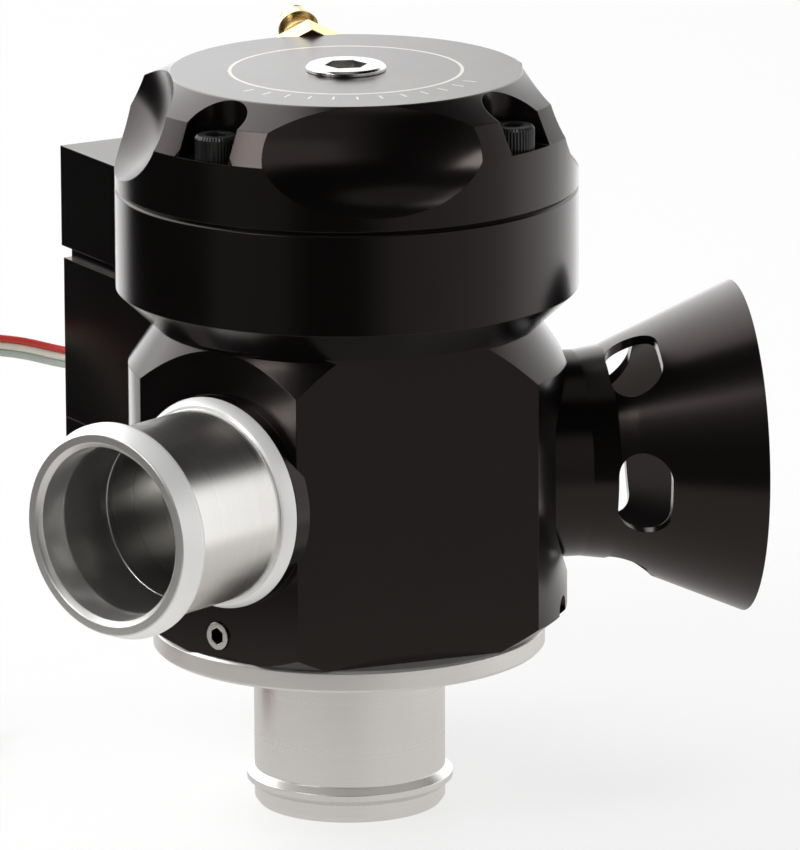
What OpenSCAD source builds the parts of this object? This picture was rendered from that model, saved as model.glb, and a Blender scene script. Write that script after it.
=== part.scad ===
// Adjustable blow off valve: a sprung piston lets boost air out of the inlet below,
// and a turning director sends it to the hose tail, to the trumpet or to both.
// The origin is on the valve's axis at the end of the inlet tail; +X points along the trumpet.

/* [Body] */
// Outer radius of the cap and of the body's top ring
ring_r = 30; // [28:0.5:33]
// Step in from the ring to the turned body below the neck
body_step = 1.5; // [0.8:0.1:2]
// Depth of the neck groove below the ring
neck_depth = 5.1; // [4.6:0.1:5.6]
// Height of the body from the base plate to the cap
body_h = 58.4; // [57:0.2:62]
// Height of the top ring above the neck groove
ring_h = 13.2; // [11:0.2:15]
// Depth of the flats behind the trumpet, the hose tail and the drive box
port_depth = 5.2; // [4.6:0.1:5.5]
// Depth of the front flat
front_depth = 7.4; // [5:0.1:7.6]
// Height of the round boss under the hose tail's flange
outlet_boss = 1.5; // [1.2:0.1:3]
// Height of the two ports above the body's bottom face
port_z = 21.1; // [19.5:0.1:22.5]

/* [Angles] */
// Direction of the hose tail, counted from the trumpet
outlet_angle = -140; // [-146:1:-130]
// Direction of the front flat
front_angle = -78; // [-84:1:-66]
// Direction of the drive box
drive_angle = 110; // [100:1:116]
// Direction of the front finger scallop in the cap
scallop_angle = -92.5; // [-110:0.5:-80]
// Direction of the vacuum nipple
nipple_angle = 92; // [86:1:96]

/* [Cap] */
// Height of the cap from the ring to the flat top
cap_h = 15; // [14:0.2:18]
// Step in from the ring to the flat top
cap_top_step = 7.3; // [6:0.1:8.5]
// Step in from the ring to the cap's upper edge line
cap_edge_step = 2; // [1:0.1:3.5]
// Height of the cap's straight wall
cap_wall_h = 8.2; // [7.5:0.1:9]
// Height of the cap's upper edge line
cap_edge_h = 12.4; // [11.5:0.1:13]
// Step in from the ring to the circle of cap screws
screw_step = 3.1; // [3:0.1:3.6]
// Depth of a finger scallop below its rim
scallop_depth = 3.4; // [2:0.1:4]
// Length of a finger scallop
scallop_w = 28.2; // [20:0.2:30]

/* [Tails and trumpet] */
// Outer radius of both hose tails
tail_r = 12.5; // [11.5:0.1:12.7]
// Bore radius of both hose tails
tail_bore_r = 11; // [10:0.1:11.2]
// Length of the inlet tail below the base plate
inlet_len = 21.2; // [18:0.2:30]
// Thickness of the base plate
plate_t = 2.9; // [2.4:0.1:4]
// Step in from the ring to the base plate
plate_step = 4.4; // [3:0.1:5]
// Distance from the axis to the mouth of the hose tail
outlet_reach = 47.6; // [44:0.2:60]
// Distance from the axis to the rim of the trumpet
trumpet_reach = 51.5; // [48:0.1:60]
// Step in from the ring to the trumpet's rim
trumpet_step = 8.3; // [6:0.1:12]
// Outer radius of the trumpet's neck
trumpet_neck_r = 13.5; // [13.2:0.1:14]
// Wall of the trumpet
trumpet_wall = 1.5; // [1.2:0.1:2]
// Number of slots around the trumpet
slot_count = 5; // [3:1:6]
// Direction of the first slot, counted from straight down
slot_first = -9; // [-36:1:36]

/* [Drive box] */
// Width of the drive box
box_w = 19.9; // [17.9:0.1:24]
// Length of the box beyond the motor's axis
box_beyond = 7.8; // [7:0.1:12]
// Height of the box's bottom face above the floor
box_z = 36; // [34:0.5:38]
// Height of the bottom cover
cover_h = 4; // [3:0.2:6]
// Height of the motor case
motor_case_h = 22; // [21.8:0.1:24]
// Height of the gear case
gear_case_h = 13.7; // [12.6:0.1:16]
// Height of the groove between the two cases
case_groove = 1.7; // [1:0.1:2]
// Wall of the box
box_wall = 1.5; // [1.2:0.1:1.7]

/* [Inside] */
// Radius of the piston
piston_r = 15; // [14:0.1:15.4]
// Travel of the piston
piston_stroke = 10; // [6:0.5:10]
// Wall of the ring outside the director's bore
chamber_step = 8.5; // [8.2:0.1:8.7]
// Radial running clearance of the piston and the director
fit = 0.08; // [0.04:0.01:0.1]
// Wire diameter of the piston spring
spring_wire = 1.4; // [1:0.1:1.8]
// Mean radius of the piston spring
spring_r = 10.4; // [8.5:0.1:10.5]
// Working coils of the piston spring
spring_coils = 6; // [5:1:9]
// Teeth of the director's gear
director_teeth = 51; // [48:1:54]
// Teeth of the drive pinion
pinion_teeth = 14; // [13:1:15]
// Teeth of the output gear
output_teeth = 16; // [15:1:17]

/* [Hidden] */
$fn = 96;

// Radii that step in from the ring
body_r = ring_r - body_step;
neck_r = ring_r - neck_depth;
port_flat = ring_r - port_depth;
front_flat = ring_r - front_depth;
cap_top_r = ring_r - cap_top_step;
cap_edge_r = ring_r - cap_edge_step;
screw_circle_r = ring_r - screw_step;
plate_r = ring_r - plate_step;
chamber_r = ring_r - chamber_step;

// Heights above the floor
body_z = inlet_len + plate_t;
top_z = body_z + body_h;
ring_z = top_z - ring_h;
neck_slope = 4.8;
shoulder_slope = 5.4;
flat_rise = 0.7;
neck_z = ring_z - neck_slope;
shoulder_z = neck_z - shoulder_slope;
flat_top_z = neck_z + flat_rise;
axis_z = body_z + port_z;
cap_top_z = top_z + cap_h;
chamber_h = 37.1;
spigot_base_h = 5.7;
partition_z = body_z + chamber_h;
seat_z = body_z + spigot_base_h;
foot_bevel = 2.4;

// Small working sizes
edge = 0.35;
nudge = 0.05;
seal_r = 0.9;
m3_r = 1.5;
m3_head_r = 2.75;
m3_head_h = 3;
hex_key = 2.5;
m2_r = 1;
m2_head_r = 1.9;
grub_r = 1.8;
grub_turn = -2.4;
grub_z = body_z + 2.9;
hex_deep = 1.6;
thread_in = 7;

// Cap
cap_screw_z = top_z + cap_wall_h;
pocket_r = 4;
cap_roof = 5;
chamber_top_z = cap_top_z - cap_roof;
spigot_r = ring_r - 10;
spigot_h = 2.4;
cap_seal_r = spigot_r + 2.6;
scallop_mid_r = (ring_r + cap_top_r) / 2;
scallop_low_z = top_z + 2;
scallop_tilt = atan2(ring_r - cap_top_r, cap_top_z - scallop_low_z);
scallop_rise = norm([ring_r - cap_top_r, cap_top_z - scallop_low_z]) / 2;
scallop_tube_r = (pow(scallop_rise, 2) + pow(scallop_depth, 2)) / 2 / scallop_depth;
scallop_swing_r = (pow(scallop_w / 2, 2) + pow(scallop_depth, 2)) / 2 / scallop_depth;

// Preload screw and spring
preload_r = 3;
preload_head_r = 5.2;
preload_head_h = 0.75;
preload_bevel = 0.3;
preload_socket = 5;
clip_t = 0.8;
clip_r = 4.8;
seat_r = piston_r - 3.2;
seat_t = 3;
seat_top_z = chamber_top_z - 1.6;
key_w = 4;
key_r = piston_r;
chamber_bore_r = piston_r + 0.4;

// Piston
piston_top_z = top_z - piston_stroke - 0.5;
piston_wall = 2.4;
seat_gap = 0.02;
piston_floor = 3.6;
spring_low_z = seat_z + piston_floor;
spring_high_z = seat_top_z - seat_t;

// Seals
base_seal_r = chamber_r - fit - seal_r;
base_seal_z = body_z + seal_r + 0.3;
port_seal = 0.6;
spigot_port_r = tail_r - 0.6;
port_seal_r = spigot_port_r + port_seal + nudge;

// Hose tail and trumpet
outlet_face = port_flat + outlet_boss;
bead_r = tail_r + 1;
bead_z = 3.2;
bead_h = 0.8;
flange_r = tail_r + 1.3;
flange_t = 1.8;
flange_taper = 0.8;
lip_r = tail_r + 1.5;
bore_step_in = 12.6;
bore_step = 0.25;
spigot_in = chamber_r + 0.5;
spot_r = trumpet_neck_r + 2;
trumpet_rim_r = ring_r - trumpet_step;
trumpet_flare = 19.5;
trumpet_cone_x = trumpet_reach - trumpet_flare + 3;
slot_w = 6.6;
slot_len = 11;
slot_back = 15;
slot_x = trumpet_reach - slot_back;

// Vacuum nipple
nipple_shank_r = 2.4;
nipple_shank = 5;
nipple_hex = 9.2;
nipple_hex_h = 2.6;
nipple_way = 10;
nipple_len = 8;
nipple_bore_r = 1.3;
nipple_barb_r = 2.7;
nipple_neck_r = 2;
nipple_tilt = 70;
nipple_r = ring_r - 6.6;
nipple_z = cap_top_z - 3.4;

// Director
director_r = chamber_r - fit;
director_wall = 3;
director_low_z = seat_z - 0.3;
base_top_z = director_low_z - 0.3;
director_high_z = partition_z - 1.2;
gear_h = 4.3;
gear_low_z = director_high_z - gear_h;
window_w = 20;

// Gears
gear_step = 1.1;
module_small = 0.5;
pressure = 28;
stub = 0.8;
backlash = 0.12;
tooth_steps = 5;
shaft_gear_teeth = 18;
small_idler_teeth = 10;
large_idler_teeth = 18;
motor_teeth = 10;
mesh_gap = 0.06;
director_pitch_r = chamber_r - gear_step;
module_big = 2 * director_pitch_r / director_teeth;
pinion_x = director_pitch_r + module_big * pinion_teeth / 2 + mesh_gap;
output_x = pinion_x + module_big * (pinion_teeth + output_teeth) / 2 + mesh_gap;
idler_x = output_x + module_small * (shaft_gear_teeth + small_idler_teeth) / 2 + mesh_gap;
motor_x = idler_x + module_small * (large_idler_teeth + motor_teeth) / 2 + mesh_gap;
box_out = motor_x + box_beyond;

// Drive box heights
cover_top_z = box_z + cover_h;
motor_case_top_z = cover_top_z + motor_case_h;
gear_case_z = motor_case_top_z + case_groove;
gear_case_top_z = gear_case_z + gear_case_h;
box_in = ring_r + 1.2;
nose_rise = 9;
case_screw_in = 12;
box_screw_in = 3;
board_start = 5;
board_end = 6;
board_t = 1.6;
nose_low_z = box_z + nose_rise;
nose_high_z = motor_case_top_z;
case_inset = 0.2;
groove_depth = 1;
deck_t = 1.6;
shaft_gear_z = gear_case_z + 1.5;
shaft_gear_h = 2.5;
large_idler_z = shaft_gear_z + shaft_gear_h + 0.8;
axle_r = 1;
axle_relief = 0.15;
shaft_r = 1.5;
shaft_seat = 0.7;
bore_gap = 0.06;
can_r = 4.2;
can_h = 12;
can_z = motor_case_top_z - deck_t - can_h;
pocket_gap = 0.7;
box_screw_z = nose_low_z + 4;
box_screw_y = box_w / 2 - 4;
case_screw_x = [box_in + 2.6, box_out - 3];
case_screw_y = box_w / 2 - 3;
boss_r = 2;
boss_h = gear_low_z - cover_top_z - 2;
grommet_r = 2.6;
motor_shaft_r = 1;
motor_shaft_in = 6;
pinion_tip_r = module_big * (pinion_teeth / 2 + stub);
output_tip_r = module_big * (output_teeth / 2 + stub);

// Lead: ribbon of three wires, a route of points and the coil that takes the rest
lead_w = 3;
lead_exit_z = 45.2;
lead_exit_y = 1;
lead_points = concat(
    [for (step = [-1, 2]) drive_at(box_out + step, lead_exit_y, lead_exit_z)],
    [[-24.8, 61.6, 45.2], [-29, 64.4, 45.6], [-34.6, 65.6, 46.8], [-40.6, 65.8, 47.3], [-46.2, 65.2, 46],
    [-50.8, 63.6, 41.6], [-54.1, 61.9, 34.5], [-57, 59.8, 26.5], [-60.1, 56.3, 17.5], [-63.9, 52.4, 9.5],
    [-68.1, 48.6, 4], [-72.6, 45.8, 1.6]]);
coil_mid = [-64.7, 33.1, 0];
coil_r = 15;
coil_band = 6.2;
coil_h = 6.2;
plug_size = [12, 9, 4.5];
plug_wall = 1;
plug_floor = 5;

// Point of the drive box's frame in the part's own frame
function drive_at(x, y, z) =
    [x * cos(drive_angle) - y * sin(drive_angle), x * sin(drive_angle) + y * cos(drive_angle), z];

// Angle of the first tooth of a driven gear that meshes with the gear before it
function phase(dir, before, teeth_before, teeth) =
    let(pitch = 360 / teeth_before, turn = dir - before, part = turn / pitch - floor(turn / pitch))
    dir + 180 + (part + 0.5) * 360 / teeth;

pinion_phase = phase(0, 0, director_teeth, pinion_teeth);
output_phase = phase(0, pinion_phase, pinion_teeth, output_teeth);
idler_phase = phase(0, output_phase, shaft_gear_teeth, small_idler_teeth);
motor_phase = phase(0, idler_phase, large_idler_teeth, motor_teeth);

// Point of an involute flank at radius r, on a base circle of radius base
function flank(base, r) = let(t = sqrt(max(0, pow(r / base, 2) - 1))) t * 180 / PI - atan(t);

// Outline of a spur gear, with one tooth centred on the first direction
function gear_points(teeth, size, first) =
    let(
        pitch_r = size * teeth / 2,
        base = pitch_r * cos(pressure),
        tip = pitch_r + size * stub,
        root = pitch_r - size * (stub + 0.3),
        half = (90 / teeth) - (backlash / 2) / pitch_r * 180 / PI + flank(base, pitch_r),
        low = max(base, root),
        foot = half - flank(base, low),
        deep = low > root + 0.01
    )
    [for (k = [0 : teeth - 1]) let(mid = first + k * 360 / teeth)
        each concat(
            deep ? [polar(root, mid - foot)] : [],
            [for (s = [0 : tooth_steps]) let(r = low + (tip - low) * s / tooth_steps)
                polar(r, mid - half + flank(base, r))],
            [for (s = [tooth_steps : -1 : 0]) let(r = low + (tip - low) * s / tooth_steps)
                polar(r, mid + half - flank(base, r))],
            deep ? [polar(root, mid + foot)] : [])];

function polar(r, a) = [r * cos(a), r * sin(a)];

module gear(teeth, size, first, h, bore) {
    linear_extrude(h) difference() {
        polygon(gear_points(teeth, size, first));
        circle(bore);
    }
}

// Seal ring of round section
module seal(r, z, section) {
    translate([0, 0, z]) rotate_extrude() translate([r, 0]) circle(section, $fn = 32);
}

// Square groove for a seal ring
module seal_groove(r, z, section) {
    half = section + nudge;
    translate([0, 0, z - half]) difference() {
        cylinder(r = r + half, h = 2 * half);
        translate([0, 0, -1]) cylinder(r = r - half, h = 2 * half + 2);
    }
}

// Places its children on a port's axis, with their +Z pointing outwards
module on_port(angle) {
    rotate([0, 0, angle]) translate([0, 0, axis_z]) rotate([0, 90, 0]) children();
}

// Places its children in the drive box's frame, with +X pointing outwards
module on_drive() {
    rotate([0, 0, drive_angle]) children();
}

// Socket cap screw with its head's underside at the origin and its shank pointing down
module cap_screw(shank) {
    difference() {
        union() {
            cylinder(r = m3_head_r, h = m3_head_h);
            translate([0, 0, -shank]) cylinder(r = m3_r, h = shank + nudge);
        }
        translate([0, 0, m3_head_h - hex_deep]) cylinder(d = hex_key / cos(30), h = m3_head_h, $fn = 6);
    }
}

// Half space beyond a flat, from one height to another
module flat_cut(angle, dist, low, high) {
    rotate([0, 0, angle]) translate([dist, -ring_r, low]) cube([ring_r, 2 * ring_r, high - low]);
}

module turned_body() {
    rotate_extrude() polygon([
        [0, body_z], [plate_r, body_z], [body_r, body_z + foot_bevel], [body_r, shoulder_z],
        [neck_r, neck_z], [ring_r, ring_z], [ring_r, top_z - edge], [ring_r - edge, top_z], [0, top_z]]);
}

// Port through the body's wall with a seal's counterbore behind its face
module port_cut(angle, face) {
    on_port(angle) {
        cylinder(r = spigot_port_r + 0.1, h = ring_r);
        translate([0, 0, face - 2 * port_seal - nudge])
            cylinder(r = port_seal_r + port_seal + nudge, h = ring_r);
    }
}

module valve_body() {
    color("#1b1a1a") difference() {
        union() {
            difference() {
                turned_body();
                for (angle = [outlet_angle, drive_angle])
                    flat_cut(angle, port_flat, body_z - 1, flat_top_z);
                on_port(0) translate([0, 0, port_flat]) cylinder(r = spot_r, h = ring_r);
                flat_cut(front_angle, front_flat, body_z - 1, flat_top_z);
            }
            on_port(outlet_angle) translate([0, 0, port_flat - 1])
                cylinder(r = flange_r, h = outlet_boss + 1);
        }
        translate([0, 0, body_z - 1]) cylinder(r = chamber_r, h = partition_z - body_z + 1);
        translate([0, 0, partition_z - 1]) cylinder(r = piston_r + fit, h = body_h);
        translate([0, 0, top_z - spigot_h]) cylinder(r = spigot_r + nudge, h = spigot_h + 1);
        seal_groove(cap_seal_r, top_z - seal_r, seal_r);
        port_cut(0, port_flat);
        port_cut(outlet_angle, outlet_face);
        on_drive() translate([pinion_x, 0, gear_low_z - pocket_gap])
            cylinder(r = pinion_tip_r + pocket_gap, h = gear_h + 2 * pocket_gap);
        on_drive() translate([pinion_x, 0, nose_low_z])
            cylinder(r = axle_r + axle_relief, h = nose_high_z - nose_low_z);
        for (k = [0 : 3]) rotate([0, 0, scallop_angle + 45 + 90 * k])
            translate([screw_circle_r, 0, top_z - thread_in - 2])
                cylinder(r = m3_r + nudge, h = thread_in + 3);
        for (k = [0 : 2]) rotate([0, 0, outlet_angle + grub_turn + 120 * k])
            translate([0, 0, grub_z]) rotate([0, 90, 0]) cylinder(r = grub_r + nudge, h = ring_r);
        for (side = [-1, 1]) on_drive() translate([0, side * box_screw_y, box_screw_z])
            rotate([0, 90, 0]) cylinder(r = m2_r + nudge, h = ring_r);
    }
}

// Torus that scoops one finger scallop out of the cap's shoulder
module scallop() {
    translate([scallop_mid_r, 0, (scallop_low_z + cap_top_z) / 2]) rotate([0, -scallop_tilt, 0])
        translate([scallop_swing_r - scallop_depth, 0, 0]) rotate_extrude($fn = 128)
            translate([scallop_swing_r - scallop_tube_r, 0]) circle(scallop_tube_r, $fn = 96);
}

module head_cap() {
    color("#1d1c1c") difference() {
        union() {
            rotate_extrude() polygon([
                [0, top_z], [ring_r - edge, top_z], [ring_r, top_z + edge], [ring_r, top_z + cap_wall_h],
                [cap_edge_r, top_z + cap_edge_h], [cap_top_r, cap_top_z], [0, cap_top_z]]);
            translate([0, 0, top_z - spigot_h + 0.2]) cylinder(r = spigot_r, h = spigot_h);
        }
        translate([0, 0, top_z - spigot_h])
            cylinder(r = chamber_bore_r, h = chamber_top_z - top_z + spigot_h);
        translate([0, 0, top_z]) cylinder(r = preload_r + fit, h = cap_h + 1);
        for (side = [0, 180]) rotate([0, 0, side]) translate([0, -key_w / 2 - 0.15, top_z - spigot_h])
            cube([key_r + 2.2, key_w + 0.3, chamber_top_z - top_z + spigot_h]);
        for (k = [0 : 3]) rotate([0, 0, scallop_angle + 90 * k]) {
            scallop();
            rotate([0, 0, 45]) translate([screw_circle_r, 0, 0]) {
                translate([0, 0, cap_screw_z]) cylinder(r = pocket_r, h = cap_h);
                translate([0, -pocket_r, cap_screw_z]) cube([ring_r, 2 * pocket_r, cap_h]);
                translate([0, 0, top_z - 1]) cylinder(r = m3_r + nudge, h = cap_h);
            }
        }
        nipple_place() translate([0, 0, -nipple_way])
            cylinder(r = nipple_shank_r + nudge, h = nipple_way + nipple_shank);
        nipple_place() cylinder(r = nipple_hex / 2 + 0.3, h = cap_h);
    }
}

module cap_screws() {
    color("#151515") for (k = [0 : 3]) rotate([0, 0, scallop_angle + 45 + 90 * k])
        translate([screw_circle_r, 0, cap_screw_z]) cap_screw(cap_wall_h + thread_in);
}

module cap_seal() {
    color("#202020") seal(cap_seal_r, top_z - seal_r, seal_r);
}

module preload_screw() {
    color("#cfd0d2") difference() {
        union() {
            rotate_extrude() polygon([
                [0, cap_top_z + nudge], [preload_head_r, cap_top_z + nudge],
                [preload_head_r, cap_top_z + preload_head_h - preload_bevel],
                [preload_head_r - preload_bevel, cap_top_z + preload_head_h],
                [0, cap_top_z + preload_head_h]]);
            translate([0, 0, top_z + 0.5]) cylinder(r = preload_r, h = cap_h);
        }
        translate([0, 0, cap_top_z - 1.6])
            cylinder(d = preload_socket / cos(30), h = 6, $fn = 6);
        translate([0, 0, chamber_top_z - clip_t - 0.15]) difference() {
            cylinder(r = preload_r + 1, h = clip_t + 0.1);
            translate([0, 0, -1]) cylinder(r = preload_r - 0.6, h = clip_t + 3);
        }
    }
}

module preload_clip() {
    color("#8f9194") translate([0, 0, chamber_top_z - clip_t - 0.1]) linear_extrude(clip_t) difference() {
        circle(clip_r);
        circle(preload_r - 0.6 + 0.04);
        translate([0, -preload_r + 0.8]) square([2 * clip_r, 2 * preload_r - 1.6]);
    }
}

module spring_seat() {
    color("#b9bcc0") translate([0, 0, seat_top_z - seat_t]) difference() {
        union() {
            cylinder(r = seat_r, h = seat_t);
            for (side = [0, 180]) rotate([0, 0, side]) translate([0, -key_w / 2, 0])
                cube([key_r + 1.6, key_w, seat_t]);
        }
        translate([0, 0, -1]) cylinder(r = preload_r + fit, h = seat_t + 2);
    }
}

// Points of the spring's wire along its helix, closed flat at both ends
function spring_at(u) =
    let(turns = spring_coils + 2, rise = spring_high_z - spring_low_z - spring_wire - 0.1,
        a = u * turns * 360, s = min(1, max(0, (u * turns - 1) / spring_coils)))
    [spring_r * cos(a), spring_r * sin(a), spring_low_z + spring_wire / 2 + 0.05 + rise * s];

module piston_spring() {
    steps = (spring_coils + 2) * 18;
    color("#a9abad") sweep([for (k = [0 : steps]) spring_at(k / steps)], spring_wire / 2, 8);
}

// Round tube of one polyhedron along a list of points
module sweep(path, r, sides) {
    count = len(path);
    rings = [for (k = [0 : count - 1])
        let(
            ahead = path[min(k + 1, count - 1)] - path[max(k - 1, 0)],
            dir = ahead / norm(ahead),
            side_raw = cross(dir, [0, 0, 1]),
            side = side_raw / norm(side_raw),
            up = cross(side, dir)
        )
        each [for (s = [0 : sides - 1])
            path[k] + r * (cos(s * 360 / sides) * side + sin(s * 360 / sides) * up)]];
    walls = [for (k = [0 : count - 2], s = [0 : sides - 1])
        let(n = (s + 1) % sides, a = k * sides)
        each [[a + s, a + sides + n, a + n], [a + s, a + sides + s, a + sides + n]]];
    ends = [[for (s = [0 : sides - 1]) s], [for (s = [sides - 1 : -1 : 0]) (count - 1) * sides + s]];
    polyhedron(rings, concat(walls, ends));
}

module piston() {
    color("#c3c5c8") difference() {
        rotate_extrude() polygon([
            [0, seat_z + seat_gap], [piston_r - 1, seat_z + seat_gap], [piston_r, seat_z + 1],
            [piston_r, piston_top_z], [0, piston_top_z]]);
        translate([0, 0, spring_low_z]) cylinder(r = piston_r - piston_wall, h = body_h);
        seal_groove(piston_r - seal_r, piston_top_z - 4, seal_r);
    }
}

module piston_seal() {
    color("#202020") seal(piston_r - seal_r, piston_top_z - 4, seal_r);
}

module director() {
    color("#9b9ea2") difference() {
        union() {
            translate([0, 0, director_low_z])
                cylinder(r = director_r, h = gear_low_z - director_low_z);
            translate([0, 0, gear_low_z - nudge]) linear_extrude(gear_h + nudge)
                polygon(gear_points(director_teeth, module_big, drive_angle));
        }
        translate([0, 0, director_low_z - 1]) cylinder(r = director_r - director_wall, h = body_h);
        rotate([0, 0, outlet_angle]) translate([0, -window_w / 2, axis_z - tail_bore_r])
            cube([ring_r, window_w, 2 * tail_bore_r - 1]);
    }
}

module director_bearing() {
    color("#e8e4d8") translate([0, 0, director_high_z + nudge]) difference() {
        cylinder(r = director_r - 2.2, h = partition_z - director_high_z - 2 * nudge);
        translate([0, 0, -1]) cylinder(r = director_r - director_wall, h = 4);
    }
}

module inlet_base() {
    color("#c9c9c6") difference() {
        rotate_extrude() polygon([
            [tail_bore_r, inlet_len], [plate_r - edge, inlet_len], [plate_r, inlet_len + edge],
            [plate_r, body_z - edge], [plate_r - edge, body_z], [chamber_r - fit, body_z],
            [chamber_r - fit, base_top_z], [tail_r + 1, base_top_z], [tail_r, seat_z],
            [tail_bore_r, seat_z]]);
        seal_groove(base_seal_r, base_seal_z, seal_r);
        for (k = [0 : 2]) rotate([0, 0, outlet_angle + grub_turn + 120 * k])
            translate([chamber_r - 1.2, 0, grub_z]) rotate([0, 90, 0])
                cylinder(r1 = grub_r - 1.2, r2 = grub_r + 0.2, h = 1.4);
    }
}

// The tail is turned from tube and stands against the plate's underside
module inlet_tail() {
    color("#c9c9c6") rotate_extrude() polygon([
        [tail_bore_r, 0], [tail_r - 0.5, 0], [tail_r, 0.7], [tail_r, bead_z - 0.8], [bead_r, bead_z],
        [bead_r, bead_z + bead_h], [tail_r, bead_z + bead_h + 0.8], [tail_r, inlet_len],
        [tail_bore_r, inlet_len]]);
}

module base_seal() {
    color("#202020") seal(base_seal_r, base_seal_z, seal_r);
}

module base_grub_screws() {
    color("#b5b6b8") for (k = [0 : 2]) rotate([0, 0, outlet_angle + grub_turn + 120 * k])
        translate([chamber_r + 0.1, 0, grub_z]) rotate([0, 90, 0]) difference() {
            cylinder(r = grub_r, h = port_flat - chamber_r + 0.2);
            translate([0, 0, 1.6]) cylinder(d = 2 / cos(30), h = 4, $fn = 6);
        }
}

module outlet_tail() {
    color("#cfcfcd") on_port(outlet_angle) rotate_extrude() polygon([
        [tail_bore_r - bore_step, spigot_in], [spigot_port_r, spigot_in], [spigot_port_r, outlet_face],
        [flange_r, outlet_face], [flange_r - flange_taper, outlet_face + flange_t],
        [tail_r, outlet_face + flange_t],
        [tail_r, outlet_reach - 4], [lip_r, outlet_reach - 3.2], [lip_r, outlet_reach - 2.2],
        [tail_r + 0.5, outlet_reach], [tail_bore_r + 0.7, outlet_reach], [tail_bore_r, outlet_reach - 0.7],
        [tail_bore_r, outlet_reach - bore_step_in],
        [tail_bore_r - bore_step, outlet_reach - bore_step_in]]);
}

module outlet_seal() {
    color("#202020") on_port(outlet_angle) seal(port_seal_r, outlet_face - port_seal, port_seal);
}

// Half section of the trumpet from one height, moved inwards by a wall
module trumpet_profile(start, wall) {
    polygon([
        [0, start], [trumpet_neck_r - wall, start], [trumpet_neck_r - wall, trumpet_cone_x - 5],
        [trumpet_neck_r + 0.5 - wall, trumpet_cone_x - 1.5],
        [trumpet_neck_r + 1.6 - wall, trumpet_cone_x + 1],
        [trumpet_rim_r - wall * 0.5, trumpet_reach + nudge * wall], [0, trumpet_reach + nudge * wall]]);
}

module trumpet() {
    color("#1b1a1a") on_port(0) difference() {
        rotate_extrude() difference() {
            union() {
                trumpet_profile(port_flat, 0);
                translate([0, spigot_in]) square([spigot_port_r, port_flat - chamber_r]);
            }
            trumpet_profile(port_flat + 2, trumpet_wall);
            square([tail_bore_r - 1, trumpet_reach]);
        }
        for (k = [0 : slot_count - 1]) rotate([0, 0, slot_first + 360 / slot_count * k])
            translate([0, 0, slot_x]) rotate([0, 90, 0]) linear_extrude(ring_r) union() {
                square([slot_w, slot_len - slot_w], center = true);
                for (side = [-1, 1]) translate([0, side * (slot_len - slot_w) / 2]) circle(d = slot_w);
            }
    }
}

module trumpet_seal() {
    color("#202020") on_port(0) seal(port_seal_r, port_flat - port_seal, port_seal);
}

// Places its children on the vacuum nipple's axis, with its hex underside at the origin
module nipple_place() {
    rotate([0, 0, nipple_angle]) translate([nipple_r, 0, nipple_z]) rotate([0, nipple_tilt, 0]) children();
}

module vacuum_nipple() {
    color("#c8a24a") nipple_place() difference() {
        union() {
            cylinder(d = nipple_hex, h = nipple_hex_h, $fn = 6);
            translate([0, 0, -nipple_shank]) cylinder(r = nipple_shank_r, h = nipple_shank + 1);
            translate([0, 0, nipple_hex_h - 0.1]) cylinder(r = nipple_neck_r, h = nipple_len);
            for (k = [0 : 1]) translate([0, 0, nipple_hex_h * (2 + k)])
                cylinder(r1 = nipple_barb_r, r2 = nipple_neck_r, h = nipple_hex_h - 0.2);
        }
        translate([0, 0, -nipple_shank - 1])
            cylinder(r = nipple_bore_r, h = nipple_shank + 2 * nipple_len);
    }
}

// Block in the drive box's frame, from one X to another, centred on Y
module block(x0, x1, w, z0, z1) {
    translate([x0, -w / 2, z0]) cube([x1 - x0, w, z1 - z0]);
}

// Places its children at the drive box's four screws
module at_case_screws() {
    on_drive() for (x = case_screw_x, side = [-1, 1]) translate([x, side * case_screw_y, 0]) children();
}

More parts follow.
